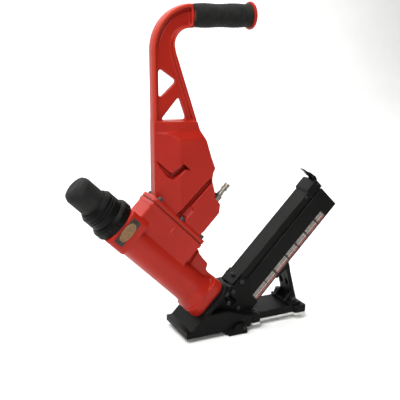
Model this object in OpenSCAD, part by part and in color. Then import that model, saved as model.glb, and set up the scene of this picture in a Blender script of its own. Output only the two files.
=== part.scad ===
// Mallet-driven pneumatic nailer for tongue-and-groove floor boards.
// The origin is on the middle plane, where the driver's centre line meets the sole.
// +X runs toward the magazine, +Z is up, and the driver line leans 45 degrees.

/* [Driver line] */
// Distance along the driver line from the sole to the body's lower flange
flange_level = 75; // [72:1:78]
// Distance along the driver line from the sole to the top of the body
body_top = 298; // [292:1:304]
// Outer radius of the body's round barrel
barrel_r = 31; // [30:0.5:33]
// Bore radius of the cylinder sleeve
bore_r = 22; // [20:0.5:23]
// Travel of the main piston and the driver blade
drive_stroke = 73; // [66:1:73]

/* [Strike head] */
// Radius of the rubber strike cap
cap_r = 24.2; // [22:0.2:26]
// Travel of the strike cap under the mallet
strike_travel = 12; // [6:1:14]
// Radius of the fixed guard around the strike cap
guard_r = 31; // [30:0.5:33]
// Radius of the bonnet that closes the body
bonnet_r = 36.4; // [35:0.2:38]

/* [Handle] */
// Height of the grip's centre line over the sole
grip_z = 533; // [520:1:550]
// Length of the foam grip
grip_len = 103; // [90:1:120]
// Radius of the foam grip
grip_r = 18.8; // [17:0.2:21]
// Width of the handle's rim across the tool
rim_w = 21; // [18:0.5:24]
// Thickness of the handle's web
web_w = 8; // [7:0.5:12]
// Width of the air chamber at the foot of the handle
chamber_w = 48; // [44:1:50]

/* [Magazine] */
// Distance from the driver line to the far end of the magazine
magazine_end = 288; // [240:1:300]
// Width of the magazine channel
channel_w = 44; // [42:1:48]
// Width of the sliding magazine cover
cover_w = 38; // [34:1:40]
// Travel of the magazine cover when it is opened
cover_travel = 150; // [100:5:150]
// Travel of the fastener pusher
pusher_travel = 175; // [120:5:175]
// Swing of the latch lever at the magazine's end, in degrees
latch_swing = 18; // [8:1:20]

/* [Base] */
// Width of the foot at its left end
foot_w = 90; // [84:1:96]
// Distance from the driver line to the left end of the foot
foot_back = 104; // [98:1:108]
// Distance from the driver line to the right end of the base plate
base_front = 141; // [136:1:146]
// Thickness of the plastic sole pad
pad_t = 4.5; // [3:0.5:6]
// Depth that the toe reaches below the sole
toe_drop = 8; // [4:1:10]

/* [Hidden] */
$fn = 64;

// Overshoot of every cut past the face it opens
cut = 1;
// Radial clearance of a running fit
fit = 0.05;
root2 = sqrt(2);

// Body casting
barrel_wall = 4;
sleeve_from = 100;
sleeve_to = 203;
sleeve_r = bore_r + 2;
block_from = 262;
block_half = 33;
box_half = 25.5;
box_from = 160;
box_to = 280;
joint_level = 64.5;
joint_lip = 7.5;
lip_half = 27.5;
socket_r = 28;

// Bolts between the body and the handle: places along the driver line
joint_bolt_t = [272, 218, 168.5];
joint_from = box_from - 0.5;
joint_to = box_to + 1;
joint_bolt_y = 21.2;
trough_y = 26;

// Piston at rest
bumper_top = 106;
piston_h = 20;
piston_from = bumper_top + drive_stroke;
blade_w = 12.5;
blade_t = 1.8;
blade_tip = 62;
pin_level = piston_from + 4.5;
bumper_from = 82;

// Valve and strike head
valve_r = barrel_r - barrel_wall - fit;
valve_from = 205;
valve_seal_t = [209, 246];
sleeve_seal_t = [sleeve_from + 3.5, sleeve_to - 4];
port_level = 231;
bonnet_spigot = 18;
ram_r = 9;
poppet_r = 14;
poppet_from = 215;
poppet_h = 8;
ram_plate_r = 16;
ram_plate_from = 348;
ram_plate_h = 6;
ram_top = 362;
ram_seal_t = 303.4;
guard_top = 347;
cap_from = 336;
cap_top = 391;
bonnet_top = 316;

// Handle
spine_x = -143.5;
bar_half = 19;
bend_r = 71;
bend_x = spine_x + bend_r;
bend_z = grip_z + bar_half - bend_r;
collar_x = bend_x;
inner_r = 26;
inner_x = bend_x - 7;
inner_z = grip_z - bar_half - inner_r;
rim_t = 6;
groove_w = 6;
tube_r = 11;
grip_from = collar_x + 0.5;
grip_to = grip_from + grip_len;
end_cap_r = 22.5;
plug_t = 182;
plug_face = 137;

// Magazine, measured in the driver frame
channel_from = 48;
channel_low = -8;
channel_high = 39;
channel_wall = 3;
cover_from = 48.6;
cover_to = 263;
cover_low = 34;
cover_high = 55;
cover_wall = 2.5;
cover_half = cover_w / 2 - 0.1;
fastener_w = 13;
rail_half = 9.5;
rail_floor = channel_low + channel_wall + 3;
drum_s = 72;
drum_r = 9.5;
drum_t = rail_floor + 0.7 + drum_r;
drum_half = 5;
latch_s = 288;
latch_t = 49.5;

// Base
foot_half = foot_w / 2;
sole_half = 33;
base_top = 17.5;
plate_from = 24;
toe_half = 51;
toe_face = 11;
toe_back = -34;
nose_half = 26;
cheek_top = 53.5;
base_bolt_seat = 20;
strut_foot_t = 5;
strut_boss_top = 27.5;
guide_t = 9;
guide_half = 17;
nose_plate_from = flange_level - 9;
nose_plate_to = flange_level - 0.8;
ramp_offset = nose_plate_to * root2;
rail_nose_low = -3.5;

// Screws in the nose's sides, as distances along and up the magazine
guide_screw_spots = [[41, 50], [30, 57], [20.5, 42.5], [25, 19]];
cheek_screw_spots = [[64, 48.5]];

// ---------------------------------------------------------------- shared shapes

// Local x runs toward the magazine and local z runs back up the driver line
module driver_frame() {
    rotate([0, -45, 0])
        children();
}

// An outline in the x-z plane, given a thickness across the tool
module slab(half_width) {
    rotate([90, 0, 0])
        linear_extrude(2 * half_width, center = true)
            children();
}

// The same, between two places across the tool
module slab_between(y_from, y_to) {
    translate([0, y_to, 0])
        rotate([90, 0, 0])
            linear_extrude(y_to - y_from)
                children();
}

module both_sides() {
    children();
    mirror([0, 1, 0])
        children();
}

module disc(r, from, to) {
    translate([0, 0, from])
        cylinder(h = to - from, r = r);
}

module tube(outer, inner, from, to) {
    difference() {
        disc(outer, from, to);
        disc(inner, from - cut, to + cut);
    }
}

// A box between two corners
module span(low, high) {
    translate(low)
        cube(high - low);
}

// Rectangle with round corners
module rounded(low, high, r) {
    hull()
        for (x = [low[0] + r, high[0] - r], y = [low[1] + r, high[1] - r])
            translate([x, y])
                circle(r = r, $fn = 32);
}

// Outline with its corners rounded
module soften(r) {
    offset(r = r, $fn = 32)
        offset(delta = -r)
            children();
}

// Torus-shaped seal around the local z axis
module seal_ring(r, thick, level) {
    translate([0, 0, level])
        rotate_extrude()
            translate([r, 0])
                circle(r = thick, $fn = 24);
}

// Socket head screw: head above z = 0, shank below it
module socket_screw(shank_r, head_r, head_h, length) {
    difference() {
        union() {
            disc(head_r, 0, head_h);
            disc(shank_r, -length, 0.1);
        }
        disc(head_r * 0.55, head_h * 0.4, head_h + cut, $fn = 6);
    }
}

// Points of an arc
function arc(cx, cz, r, from, to, steps = 12) =
    [for (i = [0 : steps]) let (a = from + (to - from) * i / steps) [cx + r * cos(a), cz + r * sin(a)]];

// ---------------------------------------------------------------- body

// Seat of the nose flange: a square with very round corners
module nose_footprint(grow = 0) {
    rounded([-36.5 - grow, -34 - grow], [39.5 + grow, 34 + grow], 19);
}

// Neck between the upper box and the nose flange
module neck_outline() {
    polygon([
        [0, 90], [38, 92], [38.2, 106], [39.7, 113], [49.2, 118], [50.4, 130], [52.3, 143],
        [56.2, 150], [61, box_from + 2], [0, box_from + 2]
    ]);
}

module body_shell() {
    disc(barrel_r, flange_level, block_from + 1);
    translate([0, 0, flange_level])
        linear_extrude(20)
            nose_footprint();
    translate([0, 0, flange_level + 19.9])
        cylinder(h = 18, r1 = 35.5, r2 = barrel_r - 0.2);
    translate([0, 0, block_from])
        linear_extrude(body_top - block_from)
            rounded([-block_half, -block_half], [block_half, block_half], 9);
    slab(box_half)
        polygon([[0, box_from], [joint_level, box_from], [joint_level, box_to], [0, box_to]]);
    slab(lip_half)
        polygon([
            [joint_level - joint_lip, joint_from], [joint_level, joint_from],
            [joint_level, joint_to], [joint_level - joint_lip, joint_to]
        ]);
    slab(13)
        neck_outline();
    // Bosses of the middle flange bolts, each with a tapered root
    for (side = [-1, 1])
        translate([0, side * joint_bolt_y, joint_bolt_t[1]])
            rotate([0, 90, 0]) {
                disc(6.5, 44, joint_level);
                translate([0, 0, 31])
                    cylinder(h = 13.1, r1 = 1.5, r2 = 6.5);
            }
}

module body_cavity() {
    // Return-air chamber around the sleeve, with the bumper's seat below it
    disc(barrel_r - barrel_wall, bumper_from, block_from + 1);
    disc(12, flange_level - cut, 83);
    disc(socket_r, block_from, body_top + cut);
    // Passage from the handle's air chamber to the valve
    slab(15)
        polygon([[10, 206], [joint_level + cut, 206], [joint_level + cut, 264], [10, 264]]);
    slab(15)
        polygon([[34, 170], [joint_level + cut, 170], [joint_level + cut, 207], [34, 207]]);
}

module body_bolt_holes() {
    for (t = joint_bolt_t, side = [-1, 1])
        translate([joint_level - 16, side * joint_bolt_y, t])
            rotate([0, 90, 0])
                cylinder(h = 17, r = 2.5);
}

module nose_bolt_places() {
    for (s = [-24, 27], side = [-1, 1])
        translate([s, side * 26, 0])
            children();
}

// The red lower casting that holds the cylinder
module body_housing() {
    color([0.70, 0.13, 0.09])
        driver_frame()
            difference() {
                body_shell();
                body_cavity();
                body_bolt_holes();
                nose_bolt_places()
                    disc(3, flange_level - cut, flange_level + 14);
                badge_screw_places()
                    disc(1.5, -9, cut);
            }
}

module nose_gasket() {
    color([0.20, 0.19, 0.17])
        driver_frame()
            difference() {
                translate([0, 0, nose_plate_to])
                    linear_extrude(flange_level - nose_plate_to)
                        nose_footprint(-0.6);
                disc(12, flange_level - 2, flange_level + cut);
                nose_bolt_places()
                    disc(3.3, flange_level - 2, flange_level + cut);
            }
}

// Screws up through the nose casting's top plate into the body
module nose_bolts() {
    color([0.12, 0.12, 0.12])
        driver_frame()
            nose_bolt_places()
                translate([0, 0, nose_plate_from])
                    mirror([0, 0, 1])
                        socket_screw(2.9, 4.6, 5, 20);
}

module badge_screw_places() {
    for (s = [-20, 20], side = [-1, 1])
        translate([s, side * block_half, 283.5])
            rotate([-90 * side, 0, 0])
                children();
}

// Blank plates on both sides of the body's square head
module badge_plate() {
    color([0.13, 0.11, 0.10])
        driver_frame()
            both_sides()
                difference() {
                    slab_between(block_half, block_half + 1.2)
                        rounded([-24, 275.5], [24, 291.5], 2);
                    for (s = [-20, 20])
                        translate([s, block_half - cut, 283.5])
                            rotate([-90, 0, 0])
                                cylinder(h = 4, r = 1.7);
                }
}

module badge_screws() {
    color([0.45, 0.44, 0.42])
        driver_frame()
            badge_screw_places()
                translate([0, 0, 1.2])
                    socket_screw(1.4, 2.6, 1.4, 8);
}

// ---------------------------------------------------------------- cylinder and driver

module cylinder_sleeve() {
    color([0.72, 0.72, 0.70])
        driver_frame()
            difference() {
                union() {
                    tube(sleeve_r, bore_r, sleeve_from, sleeve_to);
                    tube(valve_r, bore_r, sleeve_to - 8, sleeve_to);
                    tube(valve_r, bore_r, sleeve_from, sleeve_from + 7);
                }
                // Ports for the return air
                for (a = [0 : 45 : 315])
                    rotate([0, 0, a])
                        translate([bore_r - 2, 0, 122])
                            rotate([0, 90, 0])
                                cylinder(h = 8, r = 2);
                for (level = sleeve_seal_t)
                    seal_groove(level);
            }
}

// Groove for a seal against the bore of the body
module seal_groove(level) {
    tube(barrel_r, valve_r - 2, level - 1.2, level + 1.2);
}

module sleeve_seals() {
    color([0.08, 0.08, 0.08])
        driver_frame()
            for (level = sleeve_seal_t)
                seal_ring(valve_r - 1, 1, level);
}

// Rubber stop under the piston
module bumper() {
    color([0.16, 0.15, 0.14])
        driver_frame()
            difference() {
                union() {
                    disc(bore_r - 1.5, bumper_from, bumper_top);
                    disc(valve_r - 0.05, bumper_from, sleeve_from);
                }
                span(
                    [-blade_t, -blade_w / 2 - 1.5, bumper_from - cut],
                    [blade_t, blade_w / 2 + 1.5, bumper_top + cut]
                );
            }
}

module main_piston() {
    color([0.66, 0.66, 0.68])
        driver_frame()
            difference() {
                disc(bore_r - fit, piston_from, piston_from + piston_h);
                tube(bore_r + 1, bore_r - 2.6, piston_from + 8, piston_from + 11.2);
                disc(15, piston_from + 13, piston_from + piston_h + cut);
                span(
                    [-blade_t / 2, -blade_w / 2, piston_from - cut],
                    [blade_t / 2, blade_w / 2, piston_from + 8]
                );
                translate([0, 0, pin_level])
                    rotate([0, 90, 0])
                        cylinder(h = 30, r = 2, center = true);
            }
}

module piston_ring() {
    color([0.08, 0.08, 0.08])
        driver_frame()
            seal_ring(bore_r - 1.3, 1.25, piston_from + 9.6);
}

module driver_blade() {
    color([0.62, 0.62, 0.60])
        driver_frame()
            difference() {
                span([-blade_t / 2, -blade_w / 2, blade_tip], [blade_t / 2, blade_w / 2, piston_from + 8]);
                translate([0, 0, pin_level])
                    rotate([0, 90, 0])
                        cylinder(h = 6, r = 2, center = true);
            }
}

module blade_pin() {
    color([0.55, 0.55, 0.55])
        driver_frame()
            translate([0, 0, pin_level])
                rotate([0, 90, 0])
                    cylinder(h = 28, r = 2, center = true);
}

// ---------------------------------------------------------------- valve and strike head

// Insert with the firing valve's seat and its ports
module valve_housing() {
    color([0.60, 0.60, 0.58])
        driver_frame()
            difference() {
                union() {
                    disc(valve_r, valve_from, block_from);
                    disc(socket_r - fit, block_from, body_top - bonnet_spigot);
                }
                disc(ram_r + fit, valve_from - cut, body_top);
                // Chamber of the poppet and the gallery that feeds it
                disc(poppet_r + 1, valve_from - cut, port_level - 5);
                tube(barrel_r, valve_r - 3, port_level - 4, port_level + 4);
                for (a = [0 : 45 : 315])
                    rotate([0, 0, a])
                        translate([ram_r - 1, 0, port_level])
                            rotate([0, 90, 0])
                                cylinder(h = 30, r = 3);
                disc(18, 252, body_top);
                for (level = valve_seal_t)
                    seal_groove(level);
            }
}

module valve_seals() {
    color([0.08, 0.08, 0.08])
        driver_frame()
            for (level = valve_seal_t)
                seal_ring(valve_r - 1, 1, level);
}

// Black collar that closes the body and guides the ram
module bonnet() {
    color([0.10, 0.10, 0.10])
        driver_frame()
            difference() {
                union() {
                    disc(socket_r - fit, body_top - bonnet_spigot, body_top);
                    disc(bonnet_r, body_top, bonnet_top - 6);
                    translate([0, 0, bonnet_top - 6])
                        cylinder(h = 6, r1 = bonnet_r, r2 = guard_r + 1);
                }
                disc(ram_r + fit, body_top - bonnet_spigot - cut, bonnet_top + cut);
                tube(ram_r + 2.6, ram_r - 2, ram_seal_t - 1.4, ram_seal_t + 1.4);
                for (a = [0 : 30 : 330])
                    rotate([0, 0, a])
                        translate([bonnet_r + 1.6, 0, body_top + 2])
                            cylinder(h = bonnet_top - body_top, r = 2.6);
            }
}

module ram_seal() {
    color([0.08, 0.08, 0.08])
        driver_frame()
            seal_ring(ram_r + 1.35, 1.2, ram_seal_t);
}

// Guard tube that the strike cap sinks into
module strike_guard() {
    color([0.10, 0.10, 0.10])
        driver_frame()
            difference() {
                union() {
                    disc(guard_r, bonnet_top, guard_top - 7);
                    translate([0, 0, guard_top - 7])
                        cylinder(h = 7, r1 = guard_r, r2 = cap_r + 2.5);
                }
                disc(cap_r + 0.5, bonnet_top + 5, guard_top + cut);
                disc(ram_r + 2, bonnet_top - cut, bonnet_top + 6);
                for (level = [329, 334])
                    tube(guard_r + 1, guard_r - 1.2, level, level + 2);
            }
}

// Steel ram with the valve's poppet at its lower end
module ram() {
    color([0.70, 0.70, 0.68])
        driver_frame()
            difference() {
                union() {
                    disc(ram_r, poppet_from, ram_top);
                    disc(poppet_r, poppet_from, poppet_from + poppet_h);
                    disc(ram_plate_r, ram_plate_from, ram_plate_from + ram_plate_h);
                }
                disc(3, ram_top - 20, ram_top + cut);
            }
}

module ram_screw() {
    color([0.30, 0.30, 0.30])
        driver_frame()
            translate([0, 0, ram_top])
                socket_screw(2.95, 6, 5, 19);
}

// Rubber cap that the mallet strikes
module strike_cap() {
    color([0.09, 0.09, 0.09])
        driver_frame()
            difference() {
                union() {
                    disc(cap_r, cap_from, cap_top - 10);
                    translate([0, 0, cap_top - 10])
                        cylinder(h = 7, r1 = cap_r, r2 = cap_r - 3.5);
                    translate([0, 0, cap_top - 3])
                        cylinder(h = 3, r1 = cap_r - 3.5, r2 = cap_r - 11);
                }
                disc(ram_r + 0.02, cap_from - cut, ram_top + 0.02);
                disc(ram_plate_r + 0.02, cap_from - cut, ram_plate_from + ram_plate_h + 0.02);
                disc(6.2, ram_top - cut, ram_top + 6);
            }
}

// Spring under the strike cap's steel plate
module ram_spring() {
    color([0.50, 0.50, 0.50])
        driver_frame()
            tube(14.5, 11.5, bonnet_top + 5.3, ram_plate_from - 0.2);
}

// ---------------------------------------------------------------- handle

// Spine and bend, with the end that carries the grip
module handle_outline() {
    polygon(concat(
        arc(bend_x, bend_z, bend_r, 180, 90),
        [[collar_x, grip_z - bar_half]],
        arc(inner_x, inner_z, inner_r, 90, 180),
        [[-103.5, 477], [-68, 368], [-69, 360], [-62, 343], [-56, 335], [spine_x, 335]]
    ));
}

// Air chamber from the flange up to the ledge under the web
module chamber_outline() {
    polygon([
        [spine_x, 352], [-65, 352], [-56, 335], [-47, 305], [-40.5, 288], [-44.5, 279], [-46, 266],
        [-41, 246], [-41, 237], [-31, 225], [-33, 208],
        flange_point(70, 170), flange_point(70, 274), [spine_x, 250]
    ]);
}

// World place of a point given in the driver frame
function flange_point(s, t) = [(s - t) / root2, (s + t) / root2];

// Plan shape of the chamber: it widens from the narrow spine
module chamber_plan(half) {
    polygon([
        [spine_x, -rim_w / 2], [-104, -half], [0, -half], [0, half], [-104, half], [spine_x, rim_w / 2]
    ]);
}

// Section across the tool: the chamber's top slopes in to the first ledge
module chamber_shoulder() {
    half = chamber_w / 2;
    polygon([[-half, 100], [half, 100], [half, 340], [17, 352.5], [-17, 352.5], [-half, 340]]);
}

// Rounded triangular windows in the web
module window_outlines() {
    soften(3.5)
        polygon([[-132, 454], [-132, 404], [-101, 432]]);
    soften(3)
        polygon([[-97, 407], [-130, 370], [-84, 370]]);
}

// Long recess between the rim and the root of the grip
module groove_outline() {
    polygon(concat(
        arc(bend_x, bend_z, bend_r - rim_t - 0.1, 94, 172),
        arc(bend_x, bend_z, bend_r - rim_t - groove_w, 172, 94)
    ));
}

module handle_solid() {
    // Web
    slab(web_w / 2)
        handle_outline();
    // Rim along the outside and along the inner edge
    slab(rim_w / 2)
        difference() {
            handle_outline();
            soften(4)
                polygon(concat(
                    arc(bend_x, bend_z, bend_r - rim_t, 180, 94),
                    [[collar_x - 4, grip_z - bar_half + 4]],
                    arc(inner_x, inner_z, inner_r + 4, 90, 180),
                    [[-108, 470], [-76, 372], [-72, 352], [spine_x + rim_t, 352]]
                ));
        }
    // First ledge under the windows, then the full air chamber
    intersection() {
        slab(17)
            polygon([[spine_x, 371], [-70, 367], [-62, 343], [spine_x, 340]]);
        translate([0, 0, 300])
            linear_extrude(100)
                chamber_plan(17);
    }
    intersection() {
        slab(chamber_w / 2)
            chamber_outline();
        translate([0, 0, 100])
            linear_extrude(260)
                chamber_plan(chamber_w / 2);
        translate([spine_x - cut, 0, 0])
            rotate([90, 0, 90])
                linear_extrude(150)
                    chamber_shoulder();
    }
    // Flange on the body
    driver_frame()
        translate([joint_level + 0.6, 0, 0])
            rotate([0, 90, 0])
                linear_extrude(joint_lip)
                    rounded([-joint_to, -lip_half], [-joint_from, lip_half], 3);
    // Boss of the air inlet
    driver_frame()
        translate([112, 0, plug_t])
            rotate([0, 90, 0])
                cylinder(h = plug_face - 112 + 2, r = 11);
    // Tube under the grip
    translate([collar_x - 2, 0, grip_z])
        rotate([0, 90, 0])
            cylinder(h = grip_to - collar_x + 2, r = tube_r);
}

module handle_cuts() {
    // Windows through the web
    slab(rim_w)
        window_outlines();
    // Recess behind the rim on both sides
    both_sides()
        slab_between(web_w / 2 - 3, rim_w)
            groove_outline();
    // Troughs that give a key its way to the flange bolts
    driver_frame()
        both_sides() {
            trough(joint_bolt_t[0], 112, 5.5);
            trough(joint_bolt_t[1], 100, 6.5);
            trough(joint_bolt_t[2], 130, 4.5);
            // Deep slots beside the bosses of the first two bolts
            slab_between(15, 40)
                hooked_slot_outline();
            slab_between(15, 40)
                polygon([[74, 231], [158, 227.5], [153, 219], [82, 222], [74, 223]]);
        }
    // Inside of the air chamber
    difference() {
        slab(13)
            polygon([
                [-130, 330], [-70, 330], [-60, 300], [-56, 285], [-58, 262], [-54, 236],
                flange_point(joint_level, 178), flange_point(joint_level, 262), [-130, 262]
            ]);
        driver_frame()
            disc(1, -1, 1);
    }
    // Air inlet
    driver_frame()
        translate([90, 0, plug_t])
            rotate([0, 90, 0])
                cylinder(h = plug_face - 90 + 4, r = 5.6);
    // Bolt holes in the flange, with a seat for each head
    driver_frame()
        for (t = joint_bolt_t, side = [-1, 1])
            translate([joint_level, side * joint_bolt_y, t])
                rotate([0, 90, 0]) {
                    disc(3.2, -cut, joint_lip + 3);
                    disc(4.9, joint_lip + 0.6, joint_lip + 9);
                }
    // Thread for the end cap's screw
    translate([grip_to - 24, 0, grip_z])
        rotate([0, 90, 0])
            cylinder(h = 25, r = 3);
}

// Slot that falls along the chamber and turns up beside the first bolt's boss
module hooked_slot_outline() {
    polygon([
        [116, 325], [117, 294], [118.3, 284], [136.4, 282], [143, 281.5], [143.7, 266],
        [138, 272.5], [113.2, 276.6], [110, 284], [111.8, 312]
    ]);
}

// Key trough above a flange bolt
module trough(t, length, r) {
    translate([joint_level + 8.1, trough_y, t])
        rotate([0, 90, 0])
            cylinder(h = length - joint_level - 8.1, r = r);
}

// The red handle, which is also the air chamber
module handle_casting() {
    color([0.72, 0.14, 0.10])
        difference() {
            handle_solid();
            handle_cuts();
        }
}

module handle_gasket() {
    color([0.20, 0.19, 0.17])
        driver_frame()
            difference() {
                translate([joint_level, 0, 0])
                    rotate([0, 90, 0])
                        linear_extrude(0.6)
                            rounded([-joint_to + 0.6, -lip_half + 0.6], [-joint_from - 0.6, lip_half - 0.6], 3);
                span([joint_level - 1, -13, 178], [joint_level + 2, 13, 262]);
                for (t = joint_bolt_t, side = [-1, 1])
                    translate([joint_level - 1, side * joint_bolt_y, t])
                        rotate([0, 90, 0])
                            cylinder(h = 3, r = 3.2);
            }
}

module handle_bolts() {
    color([0.14, 0.14, 0.14])
        driver_frame()
            for (t = joint_bolt_t, side = [-1, 1])
                translate([joint_level + 0.6 + joint_lip, side * joint_bolt_y, t])
                    rotate([0, 90, 0])
                        socket_screw(2.45, 4.4, 5.5, 22);
}

// Foam sleeve, flared at its outer end
module foam_grip() {
    color([0.13, 0.13, 0.13])
        translate([grip_from, 0, grip_z])
            rotate([0, 90, 0])
                difference() {
                    union() {
                        disc(grip_r, 0, grip_len - 6);
                        translate([0, 0, grip_len - 6.01])
                            cylinder(h = 6.01, r1 = grip_r, r2 = grip_r + 2);
                    }
                    disc(tube_r, -cut, grip_len + cut);
                }
}

module grip_end_cap() {
    color([0.72, 0.14, 0.10])
        translate([grip_to, 0, grip_z])
            rotate([0, 90, 0])
                difference() {
                    union() {
                        disc(end_cap_r, 0, 3.4);
                        translate([0, 0, 3.4])
                            cylinder(h = 1.6, r1 = end_cap_r, r2 = end_cap_r - 2);
                    }
                    disc(3.3, -cut, 8);
                    disc(6.5, 1.4, 8);
                }
}

module grip_screw() {
    color([0.30, 0.30, 0.30])
        translate([grip_to + 1.4, 0, grip_z])
            rotate([0, 90, 0])
                socket_screw(2.95, 5.5, 3.2, 20);
}

// Quick-coupling plug on the air inlet
module air_plug() {
    color([0.72, 0.70, 0.66])
        driver_frame()
            translate([0, 0, plug_t])
                rotate([0, 90, 0])
                    difference() {
                        union() {
                            disc(5.55, plug_face - 10, plug_face + 2.01);
                            disc(8.4, plug_face + 2, plug_face + 13, $fn = 6);
                            disc(5.2, plug_face + 12, plug_face + 19);
                            disc(4.2, plug_face + 18, plug_face + 31);
                            translate([0, 0, plug_face + 25.5])
                                cylinder(h = 4, r1 = 5.9, r2 = 5.9);
                            disc(5.2, plug_face + 31, plug_face + 38);
                        }
                        disc(3, plug_face - 11, plug_face + 39);
                    }
}

// ---------------------------------------------------------------- nose

// Everything over a level
module above(level) {
    span([-200, -80, level], [300, 80, 400]);
}

// Side of the foot: low at the left end, with a ramp up to the top plate
module foot_outline() {
    polygon([
        [-foot_back, 0], [-foot_back, 11], [11 - ramp_offset, 11], [36 - ramp_offset, 36], [-24, 36], [2, 27],
        [12, 23], [40, 20.5], [40, base_top], [plate_from, base_top], [plate_from - 4, 0]
    ]);
}

// The black casting between the body and the floor
module nose_casting() {
    color([0.10, 0.10, 0.10])
        difference() {
            union() {
                slab(foot_half)
                    foot_outline();
                // Neck around the driver's guide, with the cheeks that hold the magazine
                intersection() {
                    above(base_top);
                    driver_frame()
                        slab(nose_half)
                            polygon([
                                [-26, 67], [40, 67], [42, 62], [50, cheek_top], [74, cheek_top], [74, 30],
                                [56, 12], [56, -8], [20, -8], [-26, 20]
                            ]);
                }
                // Top plate under the body's flange
                driver_frame()
                    translate([0, 0, nose_plate_from])
                        linear_extrude(nose_plate_to - nose_plate_from)
                            rounded([-66, -42], [40, 42], 18);
            }
            nose_pockets();
            nose_holes();
        }
}

module nose_pockets() {
    driver_frame() {
        // Seat of the two guide plates, open to the sole
        span(
            [-guide_t - 0.05, -guide_half - 0.05, -80],
            [guide_t + 0.05, guide_half + 0.05, nose_plate_from]
        );
        disc(12, flange_level - 12, flange_level);
        // Way of the fastener rail
        span([guide_t, -rail_half - 0.1, rail_nose_low - 0.1], [channel_from + cut, rail_half + 0.1, 57]);
        // Seat of the magazine between the cheeks
        span([channel_from, -channel_w / 2 - 0.3, channel_low - 60], [90, channel_w / 2 + 0.3, 80]);
    }
    // Recess for the toe plate
    span([toe_back - 0.1, -foot_half - cut, -cut], [toe_face, foot_half + cut, 3.05]);
    // Hollow in the foot behind the guide
    span([-90, -34, -cut], [-46, 34, 9]);
}

module nose_holes() {
    driver_frame() {
        nose_bolt_places()
            disc(3.3, flange_level - 20, flange_level + 1);
        nose_bolt_places()
            disc(5.6, 30, nose_plate_from);
        nose_side_places(guide_screw_spots)
            disc(2, -11.5, cut);
        nose_side_places(cheek_screw_spots)
            disc(2, -10, cut);
    }
    toe_screw_places()
        disc(2, -cut, 14);
    base_bolt_places() {
        disc(3, base_top - cut, base_bolt_seat + cut);
        disc(5.2, base_bolt_seat, 40);
    }
    toe_side_screw_places()
        disc(2, -18, cut);
}

// Places on the nose's sides, given along and up the magazine
module nose_side_places(spots) {
    for (spot = spots, side = [-1, 1])
        translate([spot[0], side * nose_half, spot[1]])
            rotate([-90 * side, 0, 0])
                children();
}

// One half of the driver's guide, on the side away from the magazine
module front_guide_plate() {
    color([0.42, 0.42, 0.42])
        guide_half_plate(-guide_t, 0);
}

// The other half, with the window through which the fasteners arrive
module rear_guide_plate() {
    color([0.42, 0.42, 0.42])
        difference() {
            guide_half_plate(0, guide_t);
            driver_frame()
                span([-cut, -fastener_w / 2 - 0.1, 2], [guide_t + cut, fastener_w / 2 + 0.1, 55]);
        }
}

module guide_half_plate(s_from, s_to) {
    difference() {
        intersection() {
            above(-toe_drop);
            driver_frame()
                span([s_from, -guide_half, -40], [s_to, guide_half, nose_plate_from]);
        }
        // Clear of the board's edge
        span([toe_face, -60, -30], [60, 60, 0]);
        driver_frame()
            span([-blade_t / 2 - fit, -blade_w / 2 - fit, -60], [blade_t / 2 + fit, blade_w / 2 + fit, 80]);
    }
}

module guide_screws() {
    color([0.40, 0.40, 0.40])
        driver_frame() {
            nose_side_places(guide_screw_spots)
                socket_screw(1.95, 3.6, 2.6, 11);
            nose_side_places(cheek_screw_spots)
                socket_screw(1.95, 3.6, 2.6, 3.4);
        }
}

// Steel toe that hooks over the edge of the board
module toe_plate() {
    color([0.13, 0.13, 0.13])
        difference() {
            union() {
                slab(foot_half - 0.2)
                    polygon([
                        [toe_back, 3], [toe_back, -1], [toe_back + 8, -toe_drop], [toe_face, -toe_drop], [toe_face, 3]
                    ]);
                both_sides()
                    slab_between(foot_half + 0.1, toe_half)
                        toe_ear_outline();
                both_sides()
                    slab_between(foot_half - 1, foot_half + 1)
                        polygon([[-26, -toe_drop], [toe_face, -toe_drop], [toe_face, -0.1], [-30, -0.1]]);
            }
            driver_frame()
                span([-guide_t - 0.05, -guide_half - 0.05, -60], [guide_t + 0.05, guide_half + 0.05, 60]);
            toe_screw_places()
                disc(2.3, -toe_drop - cut, 5);
            toe_screw_places()
                disc(4.1, -toe_drop - cut, -3.5);
            toe_side_screw_places()
                disc(2.2, -18, 10);
        }
}

// Screws through the toe's ears into the foot's sides
module toe_side_screw_places() {
    for (side = [-1, 1])
        translate([5, side * toe_half, 3.6])
            rotate([-90 * side, 0, 0])
                children();
}

module toe_ear_outline() {
    soften(1)
        polygon([[-27, -toe_drop], [toe_face, -toe_drop], [toe_face, 1], [5, 12], [-9, 12]]);
}

module toe_screw_places() {
    for (x = [-26, 4], side = [-1, 1])
        translate([x, side * 34, 0])
            children();
}

module toe_screws() {
    color([0.30, 0.30, 0.30]) {
        toe_screw_places()
            translate([0, 0, -3.5])
                mirror([0, 0, 1])
                    socket_screw(1.95, 4, 3, 14);
        toe_side_screw_places()
            socket_screw(1.95, 3.6, 2.2, 16);
    }
}

// ---------------------------------------------------------------- base

module base_footprint(inset = 0) {
    union() {
        rounded([plate_from + inset, -foot_half + 1 + inset], [41 - inset, foot_half - 1 - inset], 2);
        translate([plate_from + inset, -sole_half + inset])
            square([110 - plate_from, 2 * (sole_half - inset)]);
        rounded([116 + inset, -40 + inset], [base_front - inset, 40 - inset], 5);
        translate([105, -sole_half + inset])
            square([20, 2 * (sole_half - inset)]);
    }
}

module base_bolt_places() {
    for (side = [-1, 1])
        translate([32, side * 36, 0])
            children();
}

module strut_foot_places() {
    for (side = [-1, 1])
        translate([119, side * 27, 0])
            children();
}

module pad_screw_places() {
    for (x = [50, 88], side = [-1, 1])
        translate([x, side * 24, 0])
            children();
}

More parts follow.
